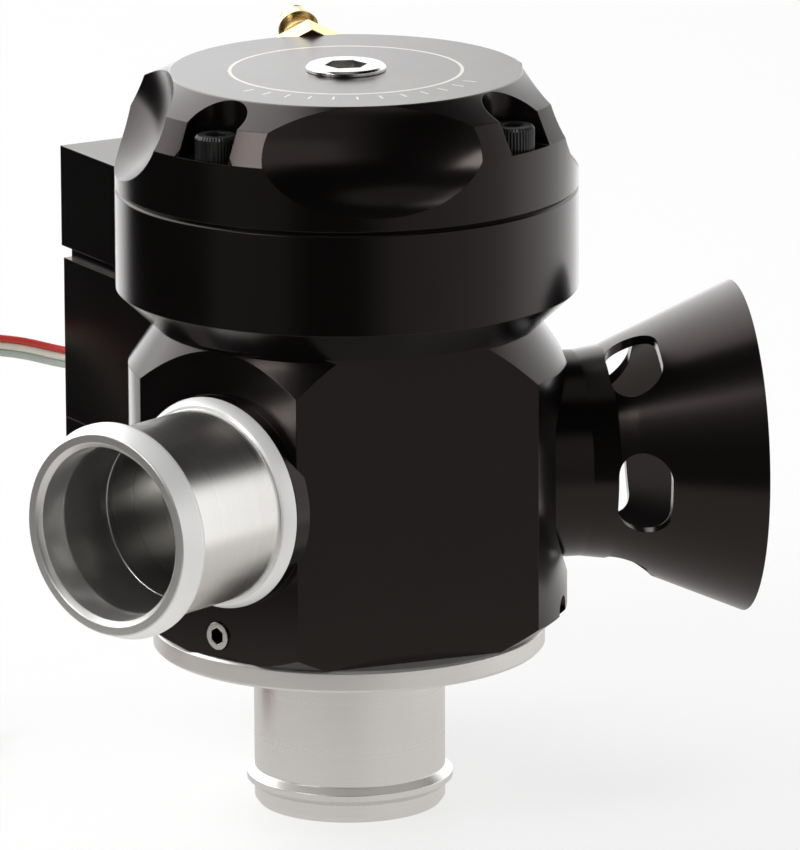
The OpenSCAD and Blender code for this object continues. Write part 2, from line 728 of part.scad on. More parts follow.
module motor_case() {
    inner_w = box_w - 2 * case_inset - 2 * box_wall;
    color("#1b1b1c") difference() {
        on_drive() difference() {
            union() {
                block(box_in, box_out - case_inset, box_w - 2 * case_inset, cover_top_z, motor_case_top_z);
                block(port_flat, box_in + 1, box_w - 2 * case_inset, nose_low_z, nose_high_z);
                block(box_in + groove_depth, box_out - groove_depth, box_w - 2 * groove_depth,
                    motor_case_top_z - 1, gear_case_z);
            }
            block(box_in + box_wall, box_out - case_inset - box_wall, inner_w, cover_top_z - 1,
                motor_case_top_z - deck_t);
            block(port_flat + box_wall, box_in + box_wall + 1, inner_w, nose_low_z + box_wall,
                nose_high_z - box_wall);
            block(port_flat - 1, port_flat + box_wall + 1, 2 * pinion_tip_r + 2 * pocket_gap,
                gear_low_z - pocket_gap, gear_low_z + gear_h + pocket_gap);
            block(box_in + groove_depth + box_wall, box_out - groove_depth - box_wall,
                box_w - 2 * groove_depth - 2 * box_wall, motor_case_top_z, gear_case_z + 1);
            translate([output_x, 0, motor_case_top_z - 3]) cylinder(r = shaft_r + bore_gap, h = 6);
            translate([motor_x, 0, motor_case_top_z - 3]) cylinder(r = motor_shaft_r + 0.3, h = 6);
            translate([idler_x, 0, motor_case_top_z - 3]) cylinder(r = axle_r + nudge, h = 6);
            for (side = [-1, 1])
                translate([port_flat - 1, side * box_screw_y, box_screw_z]) rotate([0, 90, 0])
                cylinder(r = m2_r + nudge, h = box_wall + 2);
            translate([box_out - 2 * box_wall, lead_exit_y, lead_exit_z]) rotate([0, 90, 0])
                cylinder(r = grommet_r + nudge, h = 3 * box_wall);
            translate([pinion_x, 0, nose_low_z - 1])
                cylinder(r = axle_r + nudge, h = nose_high_z - nose_low_z + 2);
        }
        at_case_screws() translate([0, 0, box_z]) cylinder(r = m2_r + nudge, h = gear_case_z - box_z + 1);
    }
    color("#1b1b1c") at_case_screws() difference() {
        translate([0, 0, cover_top_z]) cylinder(r = boss_r, h = boss_h);
        translate([0, 0, box_z]) cylinder(r = m2_r + nudge, h = gear_case_z - box_z + 1);
    }
}

module gear_case() {
    color("#1b1b1c") on_drive() difference() {
        block(box_in, box_out, box_w, gear_case_z, gear_case_top_z);
        block(box_in + box_wall, box_out - box_wall, box_w - 2 * box_wall, gear_case_z - 1,
            gear_case_top_z - deck_t);
        translate([output_x, 0, gear_case_top_z - deck_t - 1])
            cylinder(r = shaft_r + bore_gap, h = shaft_seat + 1.1);
    }
}

module case_cover() {
    color("#1b1b1c") difference() {
        on_drive() block(box_in, box_out - case_inset, box_w - 2 * case_inset, box_z, cover_top_z);
        on_drive() block(box_in + box_wall, box_out - case_inset - box_wall,
            box_w - 2 * case_inset - 2 * box_wall, box_z + deck_t, cover_top_z + 1);
        at_case_screws() translate([0, 0, box_z - 1]) cylinder(r = m2_r + nudge, h = cover_h + 2);
        at_case_screws() translate([0, 0, box_z - 1]) cylinder(r = m2_head_r + 0.1, h = 1.8);
    }
}

module case_screws() {
    color("#2a2a2b") at_case_screws() translate([0, 0, box_z]) {
        cylinder(r = m2_head_r, h = 0.8);
        cylinder(r = m2_r, h = cover_h + case_screw_in);
    }
}

module box_screws() {
    color("#8c8d90") on_drive() for (side = [-1, 1])
        translate([port_flat + box_wall, side * box_screw_y, box_screw_z]) rotate([0, -90, 0]) union() {
            translate([0, 0, -1.4]) cylinder(r = m2_head_r, h = 1.4);
            cylinder(r = m2_r, h = box_wall + box_screw_in);
        }
}

module drive_motor() {
    color("#a7a9ab") on_drive() translate([motor_x, 0, can_z]) difference() {
        cylinder(r = can_r, h = can_h);
        translate([0, 0, can_h - motor_shaft_in]) cylinder(r = motor_shaft_r + bore_gap, h = can_h);
        translate([0, 0, -1]) cylinder(r = 1.5, h = 2);
    }
}

module motor_pinion() {
    color("#c9b26a") on_drive() translate([motor_x, 0, 0]) union() {
        translate([0, 0, large_idler_z]) gear(motor_teeth, module_small, motor_phase, 2.5, 0.4);
        translate([0, 0, can_z + can_h - motor_shaft_in + bore_gap])
            cylinder(r = motor_shaft_r, h = large_idler_z + 3 - can_z - can_h + motor_shaft_in);
    }
}

module reduction_gear() {
    color("#d9d5c8") on_drive() translate([idler_x, 0, 0]) {
        translate([0, 0, shaft_gear_z])
            gear(small_idler_teeth, module_small, idler_phase, 4, axle_r + bore_gap);
        translate([0, 0, large_idler_z])
            gear(large_idler_teeth, module_small, idler_phase, shaft_gear_h - 0.1, axle_r + bore_gap);
    }
}

module reduction_axle() {
    color("#b5b6b8") on_drive() translate([idler_x, 0, motor_case_top_z - deck_t])
        cylinder(r = axle_r, h = gear_case_top_z - deck_t - motor_case_top_z + deck_t);
}

module output_shaft() {
    color("#b5b6b8") on_drive() translate([output_x, 0, 0]) union() {
        translate([0, 0, gear_low_z - 3])
            cylinder(r = shaft_r, h = gear_case_top_z - deck_t + shaft_seat - gear_low_z + 3);
        translate([0, 0, gear_low_z]) gear(output_teeth, module_big, output_phase, gear_h - 0.6, 0.4);
        translate([0, 0, shaft_gear_z])
            gear(shaft_gear_teeth, module_small, output_phase, shaft_gear_h, 0.4);
    }
}

module drive_pinion() {
    color("#d9d5c8") on_drive() translate([pinion_x, 0, gear_low_z])
        gear(pinion_teeth, module_big, pinion_phase, gear_h - 0.3, axle_r + bore_gap);
}

module drive_axle() {
    color("#b5b6b8") on_drive() translate([pinion_x, 0, nose_low_z])
        cylinder(r = axle_r, h = nose_high_z - nose_low_z);
}

module circuit_board() {
    color("#2f6b46") on_drive() block(box_in + board_start, box_out - board_end, box_w - board_end,
        cover_top_z - board_t, cover_top_z);
}

module lead_grommet() {
    color("#1a1a1a") on_drive() translate([box_out - case_inset - box_wall, lead_exit_y, lead_exit_z])
        rotate([0, 90, 0]) difference() {
            union() {
                cylinder(r = grommet_r, h = box_wall);
                translate([0, 0, box_wall]) cylinder(r = grommet_r + 0.7, h = 1);
            }
            translate([0, 0, -1]) cylinder(r = lead_w / 2 + nudge, h = 6);
        }
}

module lead() {
    color("#e9e3d2") sweep(lead_points, lead_w / 2, 8);
}

module lead_coil() {
    color("#e9e3d2") translate(coil_mid) rotate_extrude()
        translate([coil_r - coil_band / 2, 0]) square([coil_band, coil_h]);
}

module lead_tie() {
    tie_t = 0.8;
    tie_gap = 0.2;
    color("#1a1a1a") translate(coil_mid + [coil_r, 0, 0]) rotate([90, 0, 0])
        linear_extrude(3, center = true)
        difference() {
            translate([-coil_band / 2 - tie_t, 0]) square([coil_band + 2 * tie_t, coil_h + tie_t]);
            translate([-coil_band / 2 - tie_gap, -1])
                square([coil_band + 2 * tie_gap, coil_h + 1 + nudge]);
        }
}

// The plug lies inside the coil, with its cord end against the turns
module lead_plug() {
    inner_r = coil_r - coil_band / 2;
    reach = sqrt(pow(inner_r, 2) - pow(plug_size[1] / 2, 2));
    color("#1a1a1a") translate(coil_mid - [reach - nudge, plug_size[1] / 2, 0]) difference() {
        cube(plug_size);
        translate([plug_floor, plug_wall, plug_wall]) cube(plug_size - [0, 2 * plug_wall, 2 * plug_wall]);
    }
}

valve_body();
head_cap();
cap_screws();
cap_seal();
preload_screw();
preload_clip();
spring_seat();
piston_spring();
piston();
piston_seal();
director();
director_bearing();
inlet_base();
inlet_tail();
base_seal();
base_grub_screws();
outlet_tail();
outlet_seal();
trumpet();
trumpet_seal();
vacuum_nipple();
motor_case();
gear_case();
case_cover();
case_screws();
box_screws();
drive_motor();
motor_pinion();
reduction_gear();
output_shaft();
drive_pinion();
reduction_axle();
drive_axle();
circuit_board();
lead_grommet();
lead();
lead_coil();
lead_tie();
lead_plug();
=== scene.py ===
import bpy
from math import cos, pi, radians, sin
from mathutils import Matrix, Vector


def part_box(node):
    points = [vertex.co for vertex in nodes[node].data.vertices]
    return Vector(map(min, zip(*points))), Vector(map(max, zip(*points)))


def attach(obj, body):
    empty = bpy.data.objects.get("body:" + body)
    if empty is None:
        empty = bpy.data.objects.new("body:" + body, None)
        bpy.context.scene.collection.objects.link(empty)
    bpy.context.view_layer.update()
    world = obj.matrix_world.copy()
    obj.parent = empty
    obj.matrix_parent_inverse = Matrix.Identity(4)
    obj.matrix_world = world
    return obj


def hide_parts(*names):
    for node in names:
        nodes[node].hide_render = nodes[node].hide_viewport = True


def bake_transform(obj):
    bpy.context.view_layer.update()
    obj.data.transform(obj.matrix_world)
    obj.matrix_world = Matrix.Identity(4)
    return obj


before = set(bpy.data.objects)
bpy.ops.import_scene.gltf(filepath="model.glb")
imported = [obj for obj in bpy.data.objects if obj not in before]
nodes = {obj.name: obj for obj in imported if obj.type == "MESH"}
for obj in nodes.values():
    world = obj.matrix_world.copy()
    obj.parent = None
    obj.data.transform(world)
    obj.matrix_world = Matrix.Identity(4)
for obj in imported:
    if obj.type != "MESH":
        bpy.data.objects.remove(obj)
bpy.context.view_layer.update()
bpy.ops.object.select_all(action="DESELECT")
mm = 0.001


class Value:  # one socket of a finish, so that shader maths reads as sums
    def __init__(self, finish, socket):
        self.finish, self.socket = finish, socket

    def math(self, operation, *values):
        return self.finish.add("Math", {"operation": operation}, dict(enumerate(values)))

    def __add__(self, other):
        return self.math("ADD", self, other)

    def __radd__(self, other):
        return self.math("ADD", other, self)

    def __sub__(self, other):
        return self.math("SUBTRACT", self, other)

    def __rsub__(self, other):
        return self.math("SUBTRACT", other, self)

    def __mul__(self, other):
        return self.math("MULTIPLY", self, other)

    def __rmul__(self, other):
        return self.math("MULTIPLY", other, self)

    def __truediv__(self, other):
        return self.math("DIVIDE", self, other)

    def __abs__(self):
        return self.math("ABSOLUTE", self)

    def above(self, edge, soft):  # 0 below the edge, 1 above it
        return self.finish.add("MapRange", {"interpolation_type": "SMOOTHSTEP"},
                               {0: self, 1: edge - soft, 2: edge + soft})

    def within(self, middle, half, soft):  # 1 in a band, 0 outside it
        return 1 - abs(self - middle).above(half, soft)


class Finish:  # a material and the nodes in it
    def __init__(self, name, **sockets):
        self.material = bpy.data.materials.new(name)
        self.material.use_nodes = True
        self.tree = self.material.node_tree
        self.shader = self.tree.nodes["Principled BSDF"]
        self.place = self.add("TexCoord", out="Object")
        self.set(**sockets)

    def add(self, kind, settings=None, sockets=None, out=0):
        node = self.tree.nodes.new("ShaderNode" + kind)
        for name, value in (settings or {}).items():
            setattr(node, name, value)
        for name, value in (sockets or {}).items():
            self.feed(node.inputs[name], value)
        return Value(self, node.outputs[out])

    def feed(self, socket, value):
        if isinstance(value, Value):
            self.tree.links.new(value.socket, socket)
        else:
            socket.default_value = value

    def fed(self, name):  # what feeds one of the shader's sockets so far
        return Value(self, self.shader.inputs[socketNames[name]].links[0].from_socket)

    def set(self, **sockets):
        for name, value in sockets.items():
            if name == "baseColor" and not isinstance(value, Value):
                value = (*value, 1)
            self.feed(self.shader.inputs[socketNames[name]], value)

    def blend(self, factor, first, second):  # a mix of two colours
        first, second = ((*colour, 1) if isinstance(colour, tuple) else colour for colour in (first, second))
        return self.add("Mix", {"data_type": "RGBA"}, {0: factor, 6: first, 7: second}, out=2)

    def noise(self, scale, detail):
        return self.add("TexNoise", {}, {"Vector": self.place, "Scale": scale, "Detail": detail})

    def turned(self, centre, axis):  # distance along a lathe's axis, and out from it
        offset = self.add("VectorMath", {"operation": "SUBTRACT"}, {0: self.place, 1: centre})
        along = self.add("VectorMath", {"operation": "DOT_PRODUCT"}, {0: offset, 1: axis}, out=1)
        across = self.add("VectorMath", {"operation": "CROSS_PRODUCT"}, {0: offset, 1: axis})
        out = self.add("VectorMath", {"operation": "LENGTH"}, {0: across}, out=1)
        return along, out

    def lathe(self, centre, axis, pitch):  # the fine lines that a tool leaves round that axis
        along, out = self.turned(centre, axis)
        line = self.add("CombineXYZ", {}, {0: along / pitch, 1: out / pitch})
        return self.add("TexNoise", {}, {"Vector": line, "Scale": 1, "Detail": 3})

    def relief(self, height, depth, edge):  # bump, over edges rounded by that radius
        sockets = {"Strength": 1, "Distance": depth, "Height": height}
        if edge:
            sockets["Normal"] = self.add("Bevel", {"samples": 6}, {"Radius": edge})
        self.set(normal=self.add("Bump", {}, sockets))


socketNames = {"baseColor": "Base Color", "roughness": "Roughness", "metallic": "Metallic",
               "normal": "Normal", "coat": "Coat Weight", "coatRoughness": "Coat Roughness", "ior": "IOR",
               "specular": "Specular IOR Level", "specularTint": "Specular Tint"}

portHeight = 45.2 * mm  # both ports' axes
returnTurn = radians(-140)  # from the vent to the return
upright = ((0, 0, 0), (0, 0, 1))  # a centre and an axis to turn round
ventSide = ((0, 0, portHeight), (1, 0, 0))
returnSide = ((0, 0, portHeight), (cos(returnTurn), sin(returnTurn), 0))
driveBox = ((-16 * mm, 43 * mm, 0), (0, 0, 1))

anodised = {"dark": (0.0022, 0.0020, 0.0019), "light": (0.0038, 0.0034, 0.0032), "roughness": 0.2,
            "boxRoughness": 0.22, "ior": 1.38, "tint": (1, 0.84, 0.8, 1), "cloud": 90, "grain": 5200,
            "pitch": 0.16 * mm, "depth": 0.004 * mm, "edge": 0.12 * mm}


def blackAnodised(name, centre, axis, roughness=anodised["roughness"]):
    finish = Finish(name, ior=anodised["ior"], specularTint=anodised["tint"])
    cloud = finish.noise(anodised["cloud"], 4)
    grain = finish.noise(anodised["grain"], 2)
    lines = finish.lathe(centre, axis, anodised["pitch"])
    finish.set(baseColor=finish.blend(cloud, anodised["dark"], anodised["light"]),
               roughness=roughness - 0.05 + 0.06 * cloud + 0.05 * grain)
    finish.relief(lines * 0.7 + grain * 0.5, anodised["depth"], anodised["edge"])
    return finish


dial = {"ringR": 15 * mm, "ringW": 0.22 * mm, "ticks": 36, "tickW": 0.13 * mm, "tickIn": 16.6 * mm,
        "tickOut": 18.4 * mm, "ticksFrom": 9 * mm, "soft": 0.03 * mm, "cream": (0.62, 0.58, 0.47),
        "top": 97.4 * mm, "satin": 0.16, "coat": 0.72, "coatRoughness": 0.22}


def capFinish():  # black, with a plain etched ring and tick marks on the flat top
    finish = blackAnodised("capAnodised", *upright)
    base, rough = finish.fed("baseColor"), finish.fed("roughness")
    along, out = finish.turned(*upright)
    x, y = (finish.add("SeparateXYZ", {}, {0: finish.place}, out=i) for i in (0, 1))
    turn = y.math("ARCTAN2", y, x) * (dial["ticks"] / (2 * pi)) + 100  # 100 keeps it positive
    tickEdge = abs(turn.math("FRACT", turn) - 0.5) * (2 * pi / dial["ticks"]) * out
    tickMiddle = (dial["tickIn"] + dial["tickOut"]) / 2
    tickHalf = (dial["tickOut"] - dial["tickIn"]) / 2
    tick = tickEdge.within(0, dial["tickW"], dial["soft"]) * out.within(tickMiddle, tickHalf, dial["soft"])
    front = (0 - y).above(dial["ticksFrom"], 0.1 * mm)  # the ticks stand at the front only
    ring = out.within(dial["ringR"], dial["ringW"], dial["soft"])
    flat = along.above(dial["top"], 0.02 * mm)
    etched = ring.math("MAXIMUM", ring, tick * front) * flat
    finish.set(baseColor=finish.blend(etched, base, dial["cream"]), roughness=rough + flat * dial["satin"],
               coat=flat * dial["coat"], coatRoughness=dial["coatRoughness"])
    return finish


aluminium = {"light": (0.83, 0.82, 0.80), "dark": (0.70, 0.69, 0.67), "roughness": 0.27, "metallic": 0.97,
             "plateRoughness": 0.36, "plateMetallic": 0.8, "cloud": 120, "pitch": 0.22 * mm,
             "broad": 1.6 * mm, "depth": 0.0035 * mm, "edge": 0.2 * mm}


def turnedAluminium(name, centre, axis, roughness=aluminium["roughness"], metallic=aluminium["metallic"]):
    finish = Finish(name, metallic=metallic)
    lines = finish.lathe(centre, axis, aluminium["pitch"])
    broad = finish.lathe(centre, axis, aluminium["broad"])
    cloud = finish.noise(aluminium["cloud"], 3)
    finish.set(baseColor=finish.blend(lines * 0.6 + cloud * 0.4, aluminium["dark"], aluminium["light"]),
               roughness=roughness - 0.06 + 0.1 * lines + 0.06 * broad)
    finish.relief(lines + broad, aluminium["depth"], aluminium["edge"])
    return finish


mouth = {"face": 47.45 * mm, "faceRough": 0.12, "faceDull": 0.06,
         "cut": 43.1 * mm, "bore": 11.7 * mm, "cutRough": 0.14, "cutDull": 0.06,
         "patches": 150, "patchDull": 0.4,
         "lip": 12.62 * mm, "lipRough": 0.16, "lipDull": 0.55, "paintedSheen": (0.95, 0.95, 0.94)}


def returnFinish():  # the mouth's face and the first stretch of its bore are cut rougher
    finish = turnedAluminium("outletAluminium", *returnSide)
    base, rough = finish.fed("baseColor"), finish.fed("roughness")
    along, out = finish.turned(*returnSide)
    face = along.above(mouth["face"], 0.05 * mm)
    cut = along.above(mouth["cut"], 0.25 * mm) * (1 - out.above(mouth["bore"], 0.15 * mm))
    lip = out.above(mouth["lip"], 0.05 * mm) * (1 - face)  # painted highlight: the lip and the flange take a pale colour and less metal so that they show bright; they are also cut rougher
    patch = finish.noise(mouth["patches"], 1).above(0.5, 0.14)
    cutDull = cut * (mouth["cutDull"] + mouth["patchDull"] * patch)
    rough = rough + face * mouth["faceRough"] + cut * mouth["cutRough"] + lip * mouth["lipRough"]
    # painted highlight: the pale colour, with less metal, stands in for the bright reflection on the lip and
    # the flange
    finish.set(baseColor=finish.blend(lip, base, mouth["paintedSheen"]), roughness=rough,
               metallic=aluminium["metallic"] - face * mouth["faceDull"] - cutDull - lip * mouth["lipDull"])
    return finish


def plain(name, dark, light, roughness, metallic=0, scale=400, depth=0.01 * mm, edge=0.15 * mm):
    finish = Finish(name, metallic=metallic)
    cloud = finish.noise(scale, 4)
    grain = finish.noise(scale * 12, 2)
    finish.set(baseColor=finish.blend(cloud, dark, light), roughness=roughness - 0.06 + 0.12 * grain)
    finish.relief(grain, depth, edge)
    return finish


# the socket colour is painted shade for the screws' sockets
grub = {"dark": (0.60, 0.58, 0.55), "light": (0.72, 0.70, 0.67), "roughness": 0.2,
        "socket": (0.03, 0.02, 0.015), "rim": 0.35 * mm}


def grubFinish():  # steel, with painted shade down in the sockets
    finish = plain("grubSteel", grub["dark"], grub["light"], grub["roughness"], 1)
    base = finish.fed("baseColor")
    out = finish.turned(*upright)[1]
    reach = max(point.co.xy.length for point in nodes["base_grub_screws"].data.vertices)
    # painted shade: all but the outermost rim, out from the upright axis, takes the dark socket colour
    rim = out.above(reach - grub["rim"], 0.1 * mm)
    finish.set(baseColor=finish.blend(rim, grub["socket"], base))
    return finish


finishes = {
    "base_grub_screws": grubFinish(),
    "valve_body": blackAnodised("bodyAnodised", *upright),
    "head_cap": capFinish(),
    "trumpet": blackAnodised("trumpetAnodised", *ventSide),
    "motor_case": blackAnodised("motorCaseAnodised", *driveBox, anodised["boxRoughness"]),
    "gear_case": blackAnodised("gearCaseAnodised", *driveBox, anodised["boxRoughness"]),
    "case_cover": blackAnodised("coverAnodised", *driveBox, anodised["boxRoughness"]),
    "inlet_base": turnedAluminium("plateAluminium", *upright, aluminium["plateRoughness"],
                                  aluminium["plateMetallic"]),
    "inlet_tail": turnedAluminium("inletAluminium", *upright),
    "outlet_tail": returnFinish(),
}
steel = plain("stainless", (0.60, 0.59, 0.57), (0.72, 0.71, 0.69), 0.18, 1)
oxide = plain("blackOxide", (0.006, 0.0055, 0.0055), (0.011, 0.0105, 0.010), 0.3)
rubber = plain("sealRubber", (0.012, 0.012, 0.012), (0.02, 0.02, 0.02), 0.62)
brass = plain("brass", (0.66, 0.52, 0.27), (0.78, 0.64, 0.36), 0.24, 1)
white = plain("whitePlastic", (0.70, 0.69, 0.66), (0.78, 0.77, 0.74), 0.4)
board = plain("boardGreen", (0.012, 0.06, 0.02), (0.02, 0.09, 0.035), 0.38)
blackPlastic = plain("blackPlastic", (0.012, 0.012, 0.012), (0.02, 0.02, 0.02), 0.42)
bronze = plain("bronzeAnodised", (0.06, 0.052, 0.045), (0.09, 0.078, 0.066), 0.35, 0.6)
aluminiumPlain = plain("machinedAluminium", (0.68, 0.67, 0.65), (0.80, 0.79, 0.77), 0.3, 1)
kinds = {
    steel: ("preload_screw", "preload_clip", "piston_spring", "drive_motor", "reduction_axle",
            "drive_axle", "output_shaft", "director_bearing"),
    oxide: ("cap_screws", "case_screws", "box_screws"),
    rubber: ("cap_seal", "piston_seal", "base_seal", "outlet_seal", "trumpet_seal", "lead_grommet"),
    brass: ("vacuum_nipple", "motor_pinion", "drive_pinion"),
    white: ("reduction_gear", "lead_plug"),
    board: ("circuit_board",),
    blackPlastic: ("lead_tie",),
    aluminiumPlain: ("spring_seat", "piston"),
    bronze: ("director",),
}
for finish, names in kinds.items():
    for name in names:
        finishes[name] = finish
for name, finish in finishes.items():
    nodes[name].data.materials.clear()
    nodes[name].data.materials.append(finish.material)
print("finishes on", len(finishes), "nodes")

lead = {  # in millimetres, but for the length
    "route": ((-21.13, 55.14, 45.2), (-22.16, 57.96, 45.2), (-24.8, 61.6, 45.2), (-29, 64.4, 45.6),
              (-34.6, 65.6, 46.8), (-40.6, 65.8, 47.3), (-46.2, 65.2, 46), (-50.8, 63.6, 41.6),
              (-54.1, 61.9, 34.5), (-57, 59.8, 26.5), (-60.1, 56.3, 17.5), (-63.9, 52.4, 9.5),
              (-68.1, 48.6, 4), (-72.6, 45.8, 1.6)),
    "coilMid": (-64.7, 33.1), "coilStep": 30,
    "coilIn": ((140, 15.8, 1.6), (165, 16.4, 1.6)),  # degrees round the coil, out from its middle, up
    "lowerTurn": (195, 375, 16.5, 1.6),  # first and last degrees, out, up
    "coilRise": ((400, 16.4, 1.6), (420, 16.2, 1.6), (440, 15.5, 1.6), (462, 14.3, 2), (482, 13.4, 3.3),
                 (500, 14.2, 4.4), (525, 15, 4.6)),
    "upperTurn": (555, 735, 15.1, 4.6),
    "coilOut": ((760, 15, 4.6), (780, 14.8, 4.6), (800, 13.9, 4.7), (822, 12.7, 4.8), (842, 11.7, 4.7),
                (858, 11.2, 3.9)),
    "plugEnd": (-74.3, 36.6, 2.6), "wire": 1.0, "width": 3.0, "length": 0.29, "roughness": 0.38,
    "colours": (("leadRed", (0.50, 0.03, 0.025), (0.60, 0.05, 0.035)),
                ("leadCream", (0.72, 0.68, 0.58), (0.80, 0.76, 0.66)),
                ("leadGreyGreen", (0.42, 0.47, 0.42), (0.50, 0.55, 0.49))),
}


def smooth(points, steps):  # a curve through every point
    line = []
    for i in range(len(points) - 1):
        a, b = points[i], points[i + 1]
        before = points[i - 1] if i else a
        after = points[i + 2] if i + 2 < len(points) else b
        for k in range(steps):
            t = k / steps
            line.append(0.5 * ((2 * a) + (b - before) * t + (2 * before - 5 * a + 4 * b - after) * t * t
                               + (3 * a - before - 3 * b + after) * t * t * t))
    return line + [points[-1]]


def makeTube(points, r, finish):  # a round wire along a line
    shape = bpy.data.curves.new("tube", "CURVE")
    shape.dimensions = "3D"
    shape.bevel_depth = r
    shape.bevel_resolution = 3
    shape.use_fill_caps = True
    line = shape.splines.new("POLY")
    line.points.add(len(points) - 1)
    for place, point in zip(line.points, points):
        place.co = (*point, 1)
    shape.materials.append(finish.material)
    tube = bpy.data.objects.new("tube", shape)
    bpy.context.scene.collection.objects.link(tube)
    return tube


def joinTubes(tubes, name):  # one smooth mesh of them all
    bpy.ops.object.select_all(action="DESELECT")
    for tube in tubes:
        tube.select_set(True)
    bpy.context.view_layer.objects.active = tubes[0]
    bpy.ops.object.convert(target="MESH")
    if len(tubes) > 1:
        bpy.ops.object.join()
    bpy.ops.object.shade_smooth()
    piece = bpy.context.object
    piece.name = name
    return piece


def steadyTurn(first, last, out, up):  # a turn of the coil that keeps its radius and height
    return tuple((degrees, out, up) for degrees in range(first, last + 1, lead["coilStep"]))


def makeLead():
    knots = [Vector(point) * mm for point in lead["route"]]
    coil = (lead["coilIn"] + steadyTurn(*lead["lowerTurn"]) + lead["coilRise"]
            + steadyTurn(*lead["upperTurn"]) + lead["coilOut"])
    midX, midY = lead["coilMid"]
    for degrees, out, up in coil:
        turn = radians(degrees)
        knots.append(Vector((midX + out * cos(turn), midY + out * sin(turn), up)) * mm)
    knots.append(Vector(lead["plugEnd"]) * mm)
    path = smooth(knots, 5)
    strands = []
    for i, (name, dark, light) in enumerate(lead["colours"]):
        points = []
        for k, point in enumerate(path):
            ahead = path[min(k + 1, len(path) - 1)] - path[max(k - 1, 0)]
            side = ahead.cross(Vector((0, 0, 1))).normalized()
            lift = side.cross(ahead.normalized())  # the ribbon stands on edge
            points.append(point + lift * (1 - i) * lead["wire"] * mm)
        finish = plain(name, dark, light, lead["roughness"], scale=900, depth=0.004 * mm, edge=0)
        strands.append(makeTube(points, lead["wire"] * mm / 2, finish))
    ribbon = joinTubes(strands, "lead_ribbon")
    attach(ribbon, "housing")
    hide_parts("lead", "lead_coil")
    print("lead of", round(sum((b - a).length for a, b in zip(path, path[1:])), 4), "m")


makeLead()

spring = {"wire": 1.4 * mm, "r": 10.4 * mm, "coils": 6, "steps": 36}


def makeSpring():  # two halves that meet at the middle
    low, high = (corner[2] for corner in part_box("piston_spring"))
    turns = spring["coils"] + 2  # one flat turn at each end
    count = turns * spring["steps"]
    path = []
    for k in range(count + 1):
        turn = turns * k / count
        rise = min(1, max(0, (turn - 1) / spring["coils"]))
        path.append(Vector((spring["r"] * cos(2 * pi * turn), spring["r"] * sin(2 * pi * turn),
                            low + spring["wire"] / 2 + (high - low - spring["wire"]) * rise)))
    middle = count // 2
    halves = (("spring_lower", path[:middle + 1], "piston", low + 2 * spring["wire"]),
              ("spring_upper", path[middle:], "seat", high - 2 * spring["wire"]))
    for name, points, body, start in halves:
        half = joinTubes([makeTube(points, spring["wire"] / 2, steel)], name)
        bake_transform(half)
        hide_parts("piston_spring")
    print("spring from", round(low, 4), "to", round(high, 4), "m")


makeSpring()

capScrew = {"headR": 2.75 * mm, "headH": 3 * mm, "bevel": 0.4 * mm, "topScale": 0.9, "shankR": 1.45 * mm,
            "socket": 2.5 * mm, "socketDeep": 1.5 * mm, "knurls": 40, "knurlScale": 0.955, "under": 90.7 * mm,
            "circle": 26.9 * mm, "turns": (-47.5, 42.5, 132.5, 222.5), "smooth": radians(20)}


def pickFaces(piece, wanted):  # selects only the faces that pass, and leaves edit mode on
    bpy.ops.object.mode_set(mode="OBJECT")
    for part in (piece.data.vertices, piece.data.edges, piece.data.polygons):
        for one in part:
            one.select = False
    for face in piece.data.polygons:
        face.select = wanted(face)
    bpy.ops.object.mode_set(mode="EDIT")


